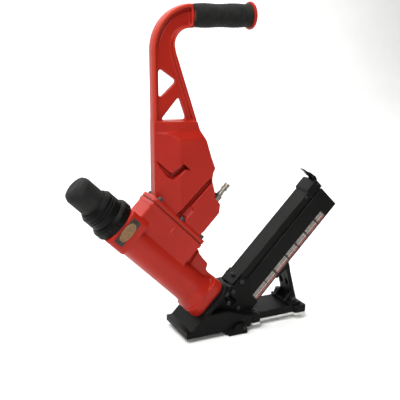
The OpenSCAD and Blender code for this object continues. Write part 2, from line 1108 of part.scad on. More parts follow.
// Plate that rests on the floor board
module base_plate() {
    color([0.11, 0.11, 0.11])
        difference() {
            translate([0, 0, pad_t])
                linear_extrude(base_top - pad_t)
                    base_footprint();
            base_bolt_places()
                disc(3, pad_t - cut, 30);
            strut_foot_places()
                disc(2.5, pad_t + 3, 30);
            pad_screw_places()
                disc(1.9, pad_t - cut, pad_t + 8);
            // Shadow line of the shim between plate and pad
            for (level = [pad_t + 3.2, pad_t + 6.4])
                edge_groove(level);
        }
}

module edge_groove(level) {
    both_sides()
        span([42, sole_half - 0.6, level], [115, sole_half + cut, level + 0.8]);
}

module base_bolts() {
    color([0.25, 0.25, 0.25])
        base_bolt_places()
            translate([0, 0, base_bolt_seat])
                socket_screw(2.9, 5, 5, 13);
}

// Pale plastic pad that keeps the board unmarked
module sole_pad() {
    color([0.80, 0.79, 0.75])
        difference() {
            linear_extrude(pad_t)
                base_footprint(0.4);
            pad_screw_places()
                disc(2.1, -cut, 30);
            pad_screw_places()
                disc(4.1, -cut, 2.4);
        }
}

module pad_screws() {
    color([0.45, 0.45, 0.45])
        pad_screw_places()
            translate([0, 0, 2.4])
                mirror([0, 0, 1])
                    socket_screw(1.85, 3.9, 1.9, 9);
}

// Bent plate that props the magazine on the base
module rear_strut() {
    color([0.10, 0.10, 0.10])
        difference() {
            union() {
                // Tab under the magazine, the leg and its foot
                slab(20)
                    polygon([
                        flange_point(112, channel_low - 0.1), flange_point(150, channel_low - 0.1),
                        [114.5, 92], [117, 79], [131.5, base_top + 5], [131.5, base_top],
                        [120, base_top], [122, 30], [109, 82], [106, 86], flange_point(112, channel_low - 5)
                    ]);
                span([108, -sole_half, base_top], [base_front - 8.5, sole_half, base_top + strut_foot_t]);
                strut_foot_places()
                    disc(6.4, base_top, strut_boss_top);
                // Gussets beside the leg
                both_sides()
                    slab_between(15, 20)
                        polygon([[104, base_top + 4], [123, 40], [126, base_top + 4]]);
                both_sides()
                    slab_between(15, 20)
                        polygon([
                            [108, 85], flange_point(118, channel_low - 4),
                            flange_point(146, channel_low - 2), [112, 70]
                        ]);
            }
            strut_foot_places()
                disc(2.7, base_top - cut, 40);
            driver_frame()
                strut_top_places() {
                    disc(2.7, -40, cut);
                    disc(4.8, -40, -5);
                }
        }
}

module strut_top_places() {
    for (side = [-1, 1])
        translate([121, side * 9, channel_low])
            children();
}

module strut_bolts() {
    color([0.25, 0.25, 0.25]) {
        strut_foot_places()
            translate([0, 0, strut_boss_top])
                socket_screw(2.4, 4.6, 4.5, 18);
        driver_frame()
            strut_top_places()
                translate([0, 0, -5])
                    mirror([0, 0, 1])
                        socket_screw(2.4, 4.6, 4.5, 7.9);
    }
}

// ---------------------------------------------------------------- magazine

// U-shaped channel, closed at its far end
module magazine_channel() {
    color([0.10, 0.10, 0.10])
        driver_frame()
            difference() {
                span(
                    [channel_from + 0.2, -channel_w / 2, channel_low],
                    [magazine_end, channel_w / 2, channel_high]
                );
                span(
                    [channel_from - cut, -channel_w / 2 + channel_wall, channel_low + channel_wall],
                    [magazine_end - 8, channel_w / 2 - channel_wall, channel_high + cut]
                );
                // The cover's way through the end wall
                both_sides()
                    span(
                        [magazine_end - 9, cover_half - cover_wall - 0.3, cover_low - 0.3],
                        [magazine_end + cut, cover_half + 0.3, cover_high]
                    );
                strut_top_places()
                    disc(2.45, -cut, 8);
                rail_screw_places()
                    disc(1.9, -cut, 8);
            }
}

module rail_screw_places() {
    for (s = [90, 180, 255])
        translate([s, 0, channel_low])
            children();
}

// Track that holds the fasteners upright
module fastener_rail() {
    color([0.55, 0.55, 0.55])
        driver_frame()
            difference() {
                union() {
                    span(
                        [guide_t + 0.1, -rail_half, rail_nose_low],
                        [channel_from + 10, rail_half, channel_high - 1]
                    );
                    span(
                        [channel_from + 3.2, -rail_half, channel_low + channel_wall],
                        [magazine_end - 8.2, rail_half, channel_high - 1]
                    );
                }
                span(
                    [guide_t - cut, -fastener_w / 2 - 0.1, channel_low + channel_wall + 3],
                    [magazine_end, fastener_w / 2 + 0.1, channel_high + cut]
                );
                rail_screw_places()
                    disc(1.9, -cut, 5.9);
            }
}

module rail_screws() {
    color([0.35, 0.35, 0.35])
        driver_frame()
            rail_screw_places()
                mirror([0, 0, 1])
                    socket_screw(1.85, 3.4, 2, 5.6);
}

// Blank strip along the magazine's near side
module size_strip() {
    color([0.72, 0.66, 0.62])
        driver_frame()
            slab_between(-channel_w / 2 - 0.5, -channel_w / 2)
                rounded([57.5, -6], [259, 9.5], 4);
}

// Cover that slides back to open the magazine
module magazine_cover() {
    color([0.12, 0.12, 0.12])
        driver_frame()
            difference() {
                union() {
                    span([cover_from, -cover_half, cover_low], [cover_to, cover_half, cover_high]);
                    // Finger stop at the front
                    slab(6)
                        polygon([[61, 54], [61, 57], [62.5, 58.5], [65, 58.5], [68, 54]]);
                }
                span(
                    [cover_from - cut, -cover_half + cover_wall, cover_low - cut],
                    [cover_to + cut, cover_half - cover_wall, cover_high - cover_wall]
                );
                cover_screw_places()
                    disc(1.7, -6, cut);
            }
}

// Screws through the cover's sides into the block's tongue
module cover_screw_places() {
    for (side = [-1, 1])
        translate([256, side * cover_half, 50.3])
            rotate([-90 * side, 0, 0])
                children();
}

// Block at the cover's end that carries the latch
module cover_block() {
    color([0.12, 0.12, 0.12])
        driver_frame()
            difference() {
                union() {
                    slab(19.5)
                        polygon([
                            [cover_to + 0.1, channel_high + 0.4], [cover_to + 0.1, 55.5], [267, 58.5], [288, 58.5],
                            [292, 55], [292, channel_high + 0.4]
                        ]);
                    // Tongue inside the cover
                    span(
                        [248, -cover_half + cover_wall + 0.1, 48.2],
                        [cover_to + cut, cover_half - cover_wall - 0.1, cover_high - cover_wall - 0.05]
                    );
                }
                // Slot for the latch lever, open at the top of the end face
                span([272, -8.4, 38], [300, 8.4, 55.5]);
                span([290, -8.4, 38], [300, 8.4, 60]);
                cover_screw_places()
                    disc(1.6, -8, cut);
                latch_axis(2, 60);
            }
}

// Cylinder around the latch's pivot
module latch_axis(r, length) {
    translate([latch_s, 0, latch_t])
        rotate([90, 0, 0])
            cylinder(h = length, r = r, center = true);
}

module cover_screws() {
    color([0.35, 0.35, 0.35])
        driver_frame()
            cover_screw_places()
                socket_screw(1.55, 2.9, 1.5, 6);
}

// Thumb lever whose cam clamps the cover on the channel's end
module latch_lever() {
    color([0.11, 0.11, 0.11])
        driver_frame()
            difference() {
                union() {
                    // Cam and hub
                    slab(8)
                        polygon([
                            [276.5, 41], [279, 39.4], [281.5, 39.4], [284, 44], [291, 45], [296, 48], [298.4, 53],
                            [298.4, 59], [292.4, 59], [291, 54], [280, 51.5], [276.5, 50]
                        ]);
                    // Thumb piece
                    slab(5.5)
                        polygon([
                            [298.4, 56], [298.2, 63], [297, 68], [294.4, 73.5], [292.2, 84], [290, 84],
                            [291, 76], [290.8, 69], [291, 64], [293, 58]
                        ]);
                }
                latch_axis(2 + fit, 30);
                // Room for the springs on both sides
                both_sides()
                    translate([0, 7.4, 0])
                        latch_axis(4.4, 3.4);
            }
}

module latch_pin() {
    color([0.45, 0.45, 0.45])
        driver_frame()
            latch_axis(2, 38.6);
}

// Torsion springs around the pin, beside the lever
module latch_spring() {
    color([0.50, 0.50, 0.50])
        driver_frame()
            both_sides()
                translate([0, 7.1, 0])
                    difference() {
                        latch_axis(3.6, 2.4);
                        latch_axis(2.3, 4);
                    }
}

// Slide that pushes the fasteners toward the driver
module pusher() {
    color([0.50, 0.50, 0.52])
        driver_frame()
            difference() {
                union() {
                    slab(fastener_w / 2)
                        polygon([[10, 2], [50, 2], [58, 38], [84, 38], [84, 44], [50, 44], [44, 52], [10, 52]]);
                    slab(13)
                        polygon([[56, 39.4], [84, 39.4], [84, 47], [60, 47], [56, 43]]);
                    both_sides()
                        slab_between(fastener_w / 2 - 1.2, fastener_w / 2)
                            polygon([[drum_s - 8, 40], [drum_s - 4, 4], [drum_s + 4, 4], [drum_s + 8, 40]]);
                }
                translate([drum_s, 0, drum_t])
                    rotate([90, 0, 0])
                        cylinder(h = 30, r = 2, center = true);
            }
}

// Coil of the constant-force spring, which turns as the pusher moves
module spring_drum() {
    color([0.60, 0.60, 0.62])
        driver_frame()
            translate([drum_s, 0, drum_t])
                rotate([90, 0, 0])
                    difference() {
                        cylinder(h = 2 * drum_half, r = drum_r, center = true);
                        cylinder(h = 20, r = 2.05, center = true);
                        for (side = [-1, 1])
                            translate([0, 0, side * drum_half])
                                ring_cut(drum_r - 2, 4);
                    }
}

// Shallow turned face of the drum
module ring_cut(outer, inner) {
    difference() {
        cylinder(h = 1, r = outer, center = true);
        cylinder(h = 2, r = inner, center = true);
    }
}

module drum_pin() {
    color([0.45, 0.45, 0.45])
        driver_frame()
            translate([drum_s, 0, drum_t])
                rotate([90, 0, 0])
                    cylinder(h = fastener_w, r = 2, center = true);
}

// Free stretch of the spring band and the screw plate that holds its end
module spring_anchor() {
    color([0.60, 0.60, 0.62])
        driver_frame() {
            span([14, -4, rail_floor], [drum_s, 4, rail_floor + 0.4]);
            span([12, -5, rail_floor], [18, 5, rail_floor + 1.5]);
        }
}

// ---------------------------------------------------------------- parts

body_housing();
nose_gasket();
nose_bolts();
badge_plate();
badge_screws();
cylinder_sleeve();
sleeve_seals();
bumper();
main_piston();
piston_ring();
driver_blade();
blade_pin();
valve_housing();
valve_seals();
bonnet();
strike_guard();
ram_seal();
ram();
ram_screw();
strike_cap();
ram_spring();
handle_casting();
handle_gasket();
handle_bolts();
foam_grip();
grip_end_cap();
grip_screw();
air_plug();
nose_casting();
front_guide_plate();
rear_guide_plate();
guide_screws();
toe_plate();
toe_screws();
base_plate();
base_bolts();
sole_pad();
pad_screws();
rear_strut();
strut_bolts();
magazine_channel();
fastener_rail();
rail_screws();
size_strip();
magazine_cover();
cover_block();
cover_screws();
latch_lever();
latch_pin();
latch_spring();
pusher();
spring_drum();
drum_pin();
spring_anchor();
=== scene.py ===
# Looks of the mallet-driven floor nailer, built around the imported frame.
# Lengths are in metres. Points in the driver frame are in millimetres: along the magazine, across the tool,
# up the driver line.
import bpy
import math
import numpy as np
from mathutils import Matrix, Vector


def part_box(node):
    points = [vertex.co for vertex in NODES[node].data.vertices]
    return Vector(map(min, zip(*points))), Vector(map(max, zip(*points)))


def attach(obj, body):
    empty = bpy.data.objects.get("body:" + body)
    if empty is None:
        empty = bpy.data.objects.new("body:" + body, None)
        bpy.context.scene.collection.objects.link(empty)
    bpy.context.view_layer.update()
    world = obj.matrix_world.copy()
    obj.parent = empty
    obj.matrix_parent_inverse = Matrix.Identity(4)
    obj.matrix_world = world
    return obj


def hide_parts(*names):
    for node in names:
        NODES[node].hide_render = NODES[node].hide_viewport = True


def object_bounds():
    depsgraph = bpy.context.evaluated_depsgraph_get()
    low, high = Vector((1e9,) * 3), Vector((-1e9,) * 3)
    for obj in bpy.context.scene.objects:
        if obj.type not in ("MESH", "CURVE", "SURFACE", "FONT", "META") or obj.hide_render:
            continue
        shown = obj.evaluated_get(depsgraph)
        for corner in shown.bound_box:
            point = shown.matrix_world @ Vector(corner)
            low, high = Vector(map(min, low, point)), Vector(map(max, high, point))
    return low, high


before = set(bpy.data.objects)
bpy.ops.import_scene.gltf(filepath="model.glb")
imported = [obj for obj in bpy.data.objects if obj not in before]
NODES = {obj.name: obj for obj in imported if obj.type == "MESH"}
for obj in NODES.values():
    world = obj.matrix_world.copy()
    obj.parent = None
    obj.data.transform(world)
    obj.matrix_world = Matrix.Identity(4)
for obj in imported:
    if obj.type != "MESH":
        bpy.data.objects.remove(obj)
CAD_LOW, CAD_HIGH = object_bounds()
MM = 0.001
DRIVER_FRAME = Matrix.Rotation(math.radians(-45), 4, "Y")
SCENE = bpy.context.scene


# ---------------------------------------------------------------- camera, light, floor

LENS_MM = 62.28
SENSOR_MM = 36
FAR_CLIP = 20
CAMERA_TARGET = (-0.058, 0.0, 0.230)
CAMERA_AZIMUTH = math.radians(-25.5)
CAMERA_ELEVATION = math.radians(14.66)
CAMERA_DISTANCE = 1.1764


def make_camera():
    data = bpy.data.cameras.new("view_camera")
    data.lens = LENS_MM
    data.sensor_width = SENSOR_MM
    data.clip_end = FAR_CLIP
    cam = bpy.data.objects.new("view_camera", data)
    SCENE.collection.objects.link(cam)
    back = Vector((
        math.sin(CAMERA_AZIMUTH) * math.cos(CAMERA_ELEVATION),
        -math.cos(CAMERA_AZIMUTH) * math.cos(CAMERA_ELEVATION),
        math.sin(CAMERA_ELEVATION),
    ))
    cam.location = Vector(CAMERA_TARGET) + back * CAMERA_DISTANCE
    cam.rotation_euler = (-back).to_track_quat("-Z", "Y").to_euler()
    SCENE.camera = cam


def area_light(name, place, aim, size, power):
    data = bpy.data.lights.new(name, "AREA")
    data.shape = "RECTANGLE"
    data.size, data.size_y = size
    data.energy = power
    lamp = bpy.data.objects.new(name, data)
    SCENE.collection.objects.link(lamp)
    lamp.location = place
    lamp.rotation_euler = (Vector(aim) - Vector(place)).to_track_quat("-Z", "Y").to_euler()


TOOL_MIDDLE = (-0.05, 0, 0.2)
WORLD_TINT = (1.0, 0.99, 0.98, 1)
WORLD_STRENGTH = 0.13


def make_light():
    world = bpy.data.worlds.new("studio")
    world.use_nodes = True
    back = world.node_tree.nodes["Background"]
    back.inputs["Color"].default_value = WORLD_TINT
    back.inputs["Strength"].default_value = WORLD_STRENGTH
    SCENE.world = world
    area_light("top_softbox", (-0.75, -0.35, 1.8), TOOL_MIDDLE, (1.3, 1.2), 46)
    area_light("front_softbox", (-0.5, -2.2, 1.2), TOOL_MIDDLE, (1.0, 0.8), 17)
    area_light("backdrop_light", (0.0, 0.9, 2.2), (-0.05, 2.0, 0.3), (2.8, 1.0), 62)
    SCENE.view_settings.view_transform = "Standard"
    SCENE.view_settings.look = "None"


FLOOR_LEVEL = CAD_LOW.z - 0.0002
FLOOR_HALF = 4.0
CURVE_FROM = 1.2
CURVE_SIZE = 0.9
WALL_TOP = 3.0


def make_floor():
    """A pale sheet that curves up behind the tool."""
    turns = np.linspace(0.1, math.pi / 2, 14)
    depth = [-3.0, -CURVE_FROM, 0.0, CURVE_FROM] + [CURVE_FROM + CURVE_SIZE * math.sin(a) for a in turns]
    height = [0.0] * 4 + [CURVE_SIZE * (1 - math.cos(a)) for a in turns]
    depth.append(depth[-1])
    height.append(WALL_TOP)
    verts, faces = [], []
    for y, z in zip(depth, height):
        verts += [(-FLOOR_HALF, y, z + FLOOR_LEVEL), (FLOOR_HALF, y, z + FLOOR_LEVEL)]
    for i in range(len(depth) - 1):
        faces.append((2 * i, 2 * i + 1, 2 * i + 3, 2 * i + 2))
    mesh = bpy.data.meshes.new("studio_floor")
    mesh.from_pydata(verts, [], faces)
    mesh.polygons.foreach_set("use_smooth", [True] * len(mesh.polygons))
    obj = bpy.data.objects.new("studio_floor", mesh)
    SCENE.collection.objects.link(obj)
    mesh.materials.append(
        finish(
            "studio_paper",
            base=(0.90, 0.90, 0.89), tone=(0.88, 0.88, 0.87), rough=(0.8, 0.9), specular=0.1,
            spots=6, bump=0.02, grain=60,
        ),
    )


# ---------------------------------------------------------------- materials

# Sockets of a Mix node that mixes colours
MIX_SHARE = 0
MIX_FIRST = 6
MIX_SECOND = 7
MIX_RESULT = 2

# How patchy the wear and painted highlight along edges are, and where they start and are full
WEAR_AND_HIGHLIGHT_PATCHINESS = 0.7
WEAR_AND_HIGHLIGHT_FROM = 0.25
WEAR_AND_HIGHLIGHT_FULL = 0.85


def finish(name, base, tone, rough, metal=0.0, specular=0.5, coat=0.0, coat_rough=0.1, sheen=0.0,
           spots=30, grain=900, bump=0.05, depth=0.0002, wear_and_highlight_colour=None, wear_and_highlight_amount=0.5, detail=3.0):
    """A procedural finish: two tones in soft patches, uneven gloss, a fine relief, and lighter edges that are
    partly wear, partly painted highlight.
    """
    mat = bpy.data.materials.new(name)
    mat.use_nodes = True
    tree = mat.node_tree
    tree.nodes.clear()
    new, link = tree.nodes.new, tree.links.new
    out = new("ShaderNodeOutputMaterial")
    bsdf = new("ShaderNodeBsdfPrincipled")
    link(bsdf.outputs["BSDF"], out.inputs["Surface"])
    bsdf.inputs["Metallic"].default_value = metal
    bsdf.inputs["Specular IOR Level"].default_value = specular
    bsdf.inputs["Coat Weight"].default_value = coat
    bsdf.inputs["Coat Roughness"].default_value = coat_rough
    bsdf.inputs["Sheen Weight"].default_value = sheen
    coords = new("ShaderNodeTexCoord")
    patch = new("ShaderNodeTexNoise")
    patch.inputs["Scale"].default_value = spots
    patch.inputs["Detail"].default_value = detail
    link(coords.outputs["Object"], patch.inputs["Vector"])
    colour = new("ShaderNodeMix")
    colour.data_type = "RGBA"
    colour.inputs[MIX_FIRST].default_value = (*base, 1)
    colour.inputs[MIX_SECOND].default_value = (*tone, 1)
    spread = new("ShaderNodeMapRange")
    spread.inputs["From Min"].default_value = 0.35
    spread.inputs["From Max"].default_value = 0.65
    link(patch.outputs["Fac"], spread.inputs["Value"])
    link(spread.outputs["Result"], colour.inputs[MIX_SHARE])
    last = colour.outputs[MIX_RESULT]
    fine = new("ShaderNodeTexNoise")
    fine.inputs["Scale"].default_value = grain
    fine.inputs["Detail"].default_value = 2
    link(coords.outputs["Object"], fine.inputs["Vector"])
    # Lighter colour on convex edges, in patches: partly wear, partly painted highlight.
    if wear_and_highlight_colour is not None:
        edge = new("ShaderNodeAttribute")
        edge.attribute_name = "edge"
        edge_patches = new("ShaderNodeMath")
        edge_patches.operation = "MULTIPLY_ADD"
        edge_patches.inputs[1].default_value = WEAR_AND_HIGHLIGHT_PATCHINESS
        edge_patches.inputs[2].default_value = -WEAR_AND_HIGHLIGHT_PATCHINESS / 2
        link(patch.outputs["Fac"], edge_patches.inputs[0])
        total = new("ShaderNodeMath")
        total.operation = "ADD"
        link(edge.outputs["Fac"], total.inputs[0])
        link(edge_patches.outputs["Value"], total.inputs[1])
        strength = new("ShaderNodeMapRange")
        strength.inputs["From Min"].default_value = WEAR_AND_HIGHLIGHT_FROM
        strength.inputs["From Max"].default_value = WEAR_AND_HIGHLIGHT_FULL
        strength.inputs["To Max"].default_value = wear_and_highlight_amount
        link(total.outputs["Value"], strength.inputs["Value"])
        wear_and_highlight = new("ShaderNodeMix")
        wear_and_highlight.data_type = "RGBA"
        wear_and_highlight.inputs[MIX_SECOND].default_value = (*wear_and_highlight_colour, 1)
        link(last, wear_and_highlight.inputs[MIX_FIRST])
        link(strength.outputs["Result"], wear_and_highlight.inputs[MIX_SHARE])
        last = wear_and_highlight.outputs[MIX_RESULT]
    link(last, bsdf.inputs["Base Color"])
    gloss = new("ShaderNodeMapRange")
    gloss.inputs["From Min"].default_value = 0.3
    gloss.inputs["From Max"].default_value = 0.7
    gloss.inputs["To Min"].default_value = rough[0]
    gloss.inputs["To Max"].default_value = rough[1]
    link(fine.outputs["Fac"], gloss.inputs["Value"])
    link(gloss.outputs["Result"], bsdf.inputs["Roughness"])
    relief = new("ShaderNodeBump")
    relief.inputs["Strength"].default_value = bump
    relief.inputs["Distance"].default_value = depth
    link(fine.outputs["Fac"], relief.inputs["Height"])
    link(relief.outputs["Normal"], bsdf.inputs["Normal"])
    return mat


# The lighter red along the convex edges is painted highlight.
RED = finish(
    "red_enamel", base=(0.335, 0.0135, 0.0060), tone=(0.295, 0.0110, 0.0050), rough=(0.32, 0.42),
    specular=0.16, coat=0.06, coat_rough=0.12, spots=14, grain=700, bump=0.10,
    wear_and_highlight_colour=(0.55, 0.060, 0.026), wear_and_highlight_amount=0.40,
)
# The lighter grey along the edges of the black finishes and the rubber is partly wear, partly painted
# highlight.
BLACK = finish(
    "black_powder_coat", base=(0.0024, 0.0024, 0.0023), tone=(0.0040, 0.0040, 0.0038),
    rough=(0.38, 0.52), specular=0.08, spots=25, grain=1300, bump=0.22, wear_and_highlight_colour=(0.10, 0.10, 0.095),
    wear_and_highlight_amount=0.55,
)
SHEET = finish(
    "black_magazine_paint", base=(0.0023, 0.0023, 0.0022), tone=(0.0038, 0.0038, 0.0036),
    rough=(0.30, 0.42), specular=0.09, spots=18, grain=1100, bump=0.10, wear_and_highlight_colour=(0.16, 0.16, 0.15),
    wear_and_highlight_amount=0.7,
)
RUBBER = finish("black_rubber", base=(0.006, 0.006, 0.006), tone=(0.013, 0.013, 0.0125), rough=(0.62, 0.8),
                specular=0.18, spots=55, grain=1500, bump=0.35, wear_and_highlight_colour=(0.055, 0.054, 0.052), wear_and_highlight_amount=0.8)
FOAM = finish(
    "grip_foam", base=(0.0085, 0.0085, 0.0082), tone=(0.0135, 0.0135, 0.013), rough=(0.8, 0.95),
    specular=0.12, sheen=0.06, spots=90, grain=1900, bump=0.55, depth=0.0004,
)
STEEL = finish(
    "bare_steel", base=(0.46, 0.45, 0.43), tone=(0.36, 0.35, 0.33), rough=(0.24, 0.38), metal=1.0,
    spots=120, grain=1500, bump=0.08,
)
DARK_STEEL = finish(
    "blackened_steel", base=(0.018, 0.0178, 0.017), tone=(0.034, 0.033, 0.032), rough=(0.30, 0.45),
    metal=0.6, spots=160, grain=1500, bump=0.1,
)
ALLOY = finish(
    "turned_alloy", base=(0.60, 0.60, 0.59), tone=(0.52, 0.52, 0.51), rough=(0.25, 0.36), metal=1.0,
    spots=80, grain=1200, bump=0.06,
)
PLUG = finish(
    "nickel_plug", base=(0.24, 0.22, 0.19), tone=(0.15, 0.14, 0.12), rough=(0.24, 0.36), metal=1.0,
    spots=200, grain=1600, bump=0.08,
)
GASKET = finish("gasket_paper", base=(0.020, 0.018, 0.016), tone=(0.032, 0.028, 0.024), rough=(0.8, 0.9),
                specular=0.2, spots=200, grain=1800, bump=0.3)
PAD = finish(
    "pale_plastic", base=(0.66, 0.66, 0.64), tone=(0.60, 0.60, 0.58), rough=(0.45, 0.6), specular=0.4,
    spots=40, grain=900, bump=0.12,
)
BADGE = finish(
    "badge_black", base=(0.012, 0.011, 0.010), tone=(0.020, 0.018, 0.015), rough=(0.35, 0.5),
    specular=0.4, spots=150, grain=1500, bump=0.1,
)
BRONZE = finish(
    "badge_bronze", base=(0.23, 0.115, 0.040), tone=(0.13, 0.085, 0.042), rough=(0.35, 0.5), metal=0.35,
    spots=330, grain=1500, bump=0.3, detail=4,
)
STRIP_BASE = finish(
    "strip_dark", base=(0.030, 0.010, 0.009), tone=(0.018, 0.007, 0.007), rough=(0.4, 0.5),
    specular=0.35, spots=160, grain=1400, bump=0.05,
)
STRIP_PALE = finish(
    "strip_pale", base=(0.46, 0.41, 0.37), tone=(0.28, 0.23, 0.20), rough=(0.4, 0.5), specular=0.35,
    spots=420, grain=1400, bump=0.05,
)
STRIP_LINE = finish(
    "strip_line", base=(0.30, 0.105, 0.095), tone=(0.17, 0.040, 0.036), rough=(0.4, 0.5), specular=0.3,
    spots=300, grain=1400, bump=0.05,
)
STRIP_GREY = finish(
    "strip_grey", base=(0.30, 0.285, 0.26), tone=(0.10, 0.092, 0.084), rough=(0.4, 0.5), specular=0.35,
    spots=520, grain=1400, bump=0.05,
)

NODE_FINISH = {
    RED: ["body_housing", "handle_casting", "grip_end_cap"],
    GASKET: ["nose_gasket", "handle_gasket"],
    DARK_STEEL: ["nose_bolts", "handle_bolts", "grip_screw", "ram_screw", "toe_screws", "base_bolts",
                 "strut_bolts", "rail_screws", "cover_screws", "guide_screws", "latch_pin"],
    BADGE: ["badge_plate", "badge_screws"],
    STEEL: ["driver_blade", "blade_pin", "ram", "ram_spring", "front_guide_plate", "rear_guide_plate",
            "pad_screws", "fastener_rail", "latch_spring", "pusher", "spring_drum", "drum_pin",
            "spring_anchor"],
    ALLOY: ["cylinder_sleeve", "main_piston", "valve_housing"],
    RUBBER: ["sleeve_seals", "bumper", "piston_ring", "valve_seals", "ram_seal", "strike_cap"],
    BLACK: ["bonnet", "strike_guard", "nose_casting", "toe_plate", "base_plate", "rear_strut"],
    SHEET: ["magazine_channel", "magazine_cover", "cover_block", "latch_lever"],
    FOAM: ["foam_grip"],
    PLUG: ["air_plug"],
    PAD: ["sole_pad"],
    STRIP_BASE: ["size_strip"],
}


def paint_nodes():
    for mat, names in NODE_FINISH.items():
        for name in names:
            node = NODES[name]
            if not node.material_slots:
                node.data.materials.append(mat)
            for slot in node.material_slots:
                slot.material = mat


# ---------------------------------------------------------------- cast and pressed pieces

def add_piece(name, mesh, body, mat, replaced=()):
    obj = bpy.data.objects.new(name, mesh)
    SCENE.collection.objects.link(obj)
    if mat is not None:
        mesh.materials.clear()
        mesh.materials.append(mat)
    mesh.polygons.foreach_set("use_smooth", [True] * len(mesh.polygons))
    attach(obj, body)
    if replaced:
        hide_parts(*replaced)
    return obj


def evaluated_mesh(mesh, setup):
    """The mesh after the modifiers that setup adds."""
    obj = bpy.data.objects.new("work", mesh)
    SCENE.collection.objects.link(obj)
    setup(obj)
    graph = bpy.context.evaluated_depsgraph_get()
    result = bpy.data.meshes.new_from_object(obj.evaluated_get(graph))
    bpy.data.objects.remove(obj)
    return result


def remesh(size):
    def setup(obj):
        mod = obj.modifiers.new("cells", "REMESH")
        mod.mode = "VOXEL"
        mod.voxel_size = size
    return setup


def thin_out(ratio):
    def setup(obj):
        mod = obj.modifiers.new("thin", "DECIMATE")
        mod.ratio = ratio
    return setup


def points_of(mesh):
    flat = np.empty(3 * len(mesh.vertices))
    mesh.vertices.foreach_get("co", flat)
    return flat.reshape(-1, 3)


def relax(mesh, passes, reach=None):
    """Rounds every edge by spreading each point toward its neighbours; reach gives a factor per point."""
    points = points_of(mesh)
    ends = np.empty(2 * len(mesh.edges), dtype=np.int64)
    mesh.edges.foreach_get("vertices", ends)
    a, b = ends.reshape(-1, 2).T
    count = len(points)
    share = np.bincount(a, minlength=count) + np.bincount(b, minlength=count)
    share = np.maximum(share, 1)[:, None]
    start = points.copy()
    for step in range(passes):
        total = np.empty_like(points)
        for k in range(3):
            total[:, k] = np.bincount(a, points[b, k], count) + np.bincount(b, points[a, k], count)
        pull = 0.5 if reach is None else 0.5 * reach(start, step / passes)[:, None]
        points += pull * (total / share - points)
    return start, points


# Outlines of narrow slots in the sides of the castings: along the magazine, up the driver line
HOOKED_SLOT = [(117.5, 315.8), (117.7, 290.8), (118.8, 281.4), (136.4, 281.7), (143, 281.1),
               (143.7, 265.6), (137.9, 272.5), (113.6, 274.8), (110.8, 281.1), (113.8, 304.8)]
LONG_SLOT = [(79, 230), (156, 226.6), (152, 222.2), (79, 225)]
LOW_SLOT = [(25, 144.5), (57, 150), (57, 155), (25, 149)]
SLOT_BLEND = 0.9


def inside_depth(points, outline):
    """How far inside the outline each (s, t) point lies, in millimetres; negative outside."""
    corners = np.array(outline, dtype=float)
    nearest = np.full(len(points), 1e9)
    inside = np.zeros(len(points), dtype=bool)
    for start, end in zip(corners, np.roll(corners, -1, axis=0)):
        side = end - start
        share = np.clip(((points - start) @ side) / (side @ side), 0, 1)
        nearest = np.minimum(nearest, np.linalg.norm(points - start - share[:, None] * side, axis=1))
        crosses = (start[1] > points[:, 1]) != (end[1] > points[:, 1])
        if side[1] != 0:
            inside ^= crosses & (points[:, 0] < start[0] + (points[:, 1] - start[1]) * side[0] / side[1])
    return np.where(inside, nearest, -nearest)


def sink_slots(points, driver_axes, slots):
    """Moves the skin inside each outline toward the middle plane.

    A slot is its outline, its depth, and the distance from the middle plane within which nothing moves.
    """
    x, z = points[:, 0] / MM, points[:, 2] / MM
    flat = np.stack([x, z] if driver_axes else [(x + z) / math.sqrt(2), (z - x) / math.sqrt(2)], axis=1)
    for outline, depth, still in slots:
        share = np.clip(inside_depth(flat, outline) / SLOT_BLEND + 0.5, 0, 1)
        share[np.abs(points[:, 1]) < still * MM] = 0
        points[:, 1] -= np.sign(points[:, 1]) * share * depth * MM


def rounded_copy(node, name, body, mat, cell, passes, driver_axes=True, reach=None, faces=110000,
                 wear_and_highlight=1.0, slots=()):
    """A copy of a CAD node with its edges rounded like those of a casting or a pressed sheet."""
    mesh = NODES[node].data.copy()
    turn = DRIVER_FRAME if driver_axes else Matrix.Identity(4)
    mesh.transform(turn.inverted())
    mesh = evaluated_mesh(mesh, remesh(cell * MM))
    start, points = relax(mesh, passes, reach)
    mesh.vertices.foreach_set("co", points.ravel())
    mesh.update()
    normals = np.empty(3 * len(mesh.vertices))
    mesh.vertices.foreach_get("normal", normals)
    # How far each point sank while rounding marks the convex edges, where the colour is partly wear and partly
    # painted highlight.
    sunk = ((start - points) * normals.reshape(-1, 3)).sum(axis=1) / (cell * MM)
    edge = mesh.attributes.new("edge", "FLOAT", "POINT")
    edge.data.foreach_set("value", np.clip(sunk * wear_and_highlight, 0, 1).astype(np.float32))
    if slots:
        sink_slots(points, driver_axes, slots)
        mesh.vertices.foreach_set("co", points.ravel())
        mesh.update()
    count = 2 * len(mesh.polygons)
    if count > faces:
        mesh = evaluated_mesh(mesh, thin_out(faces / count))
    mesh.transform(turn)
    return add_piece(name, mesh, body, mat, [node])


# The handle's rim, in millimetres: the bend's centre, the rim's inner edge, and where the web starts
BEND_ALONG, BEND_HEIGHT = -72.5, 481
RIM_ALONG = -137.5
RIM_FROM_BEND = 65
WEB_LOW, WEB_BLEND = 366, 12
SOFT_LOW, SOFT_BLEND = 300, 40


def handle_reach(points, progress):
    """Rounds the outer rim fully, the web and its groove less, the flange and the troughs only a little."""
    along, height = points[:, 0] / MM, points[:, 2] / MM
    above = np.clip((height - WEB_LOW) / WEB_BLEND, 0, 1)
    soft = np.clip((height - SOFT_LOW) / SOFT_BLEND, 0, 1)
    from_bend = np.hypot(along - BEND_ALONG, height - BEND_HEIGHT)
    outer_rim = np.where(height < BEND_HEIGHT, along < RIM_ALONG, from_bend > RIM_FROM_BEND)
    limit = 0.10 + 0.15 * soft + 0.75 * above * outer_rim
    return (progress <= limit).astype(float)


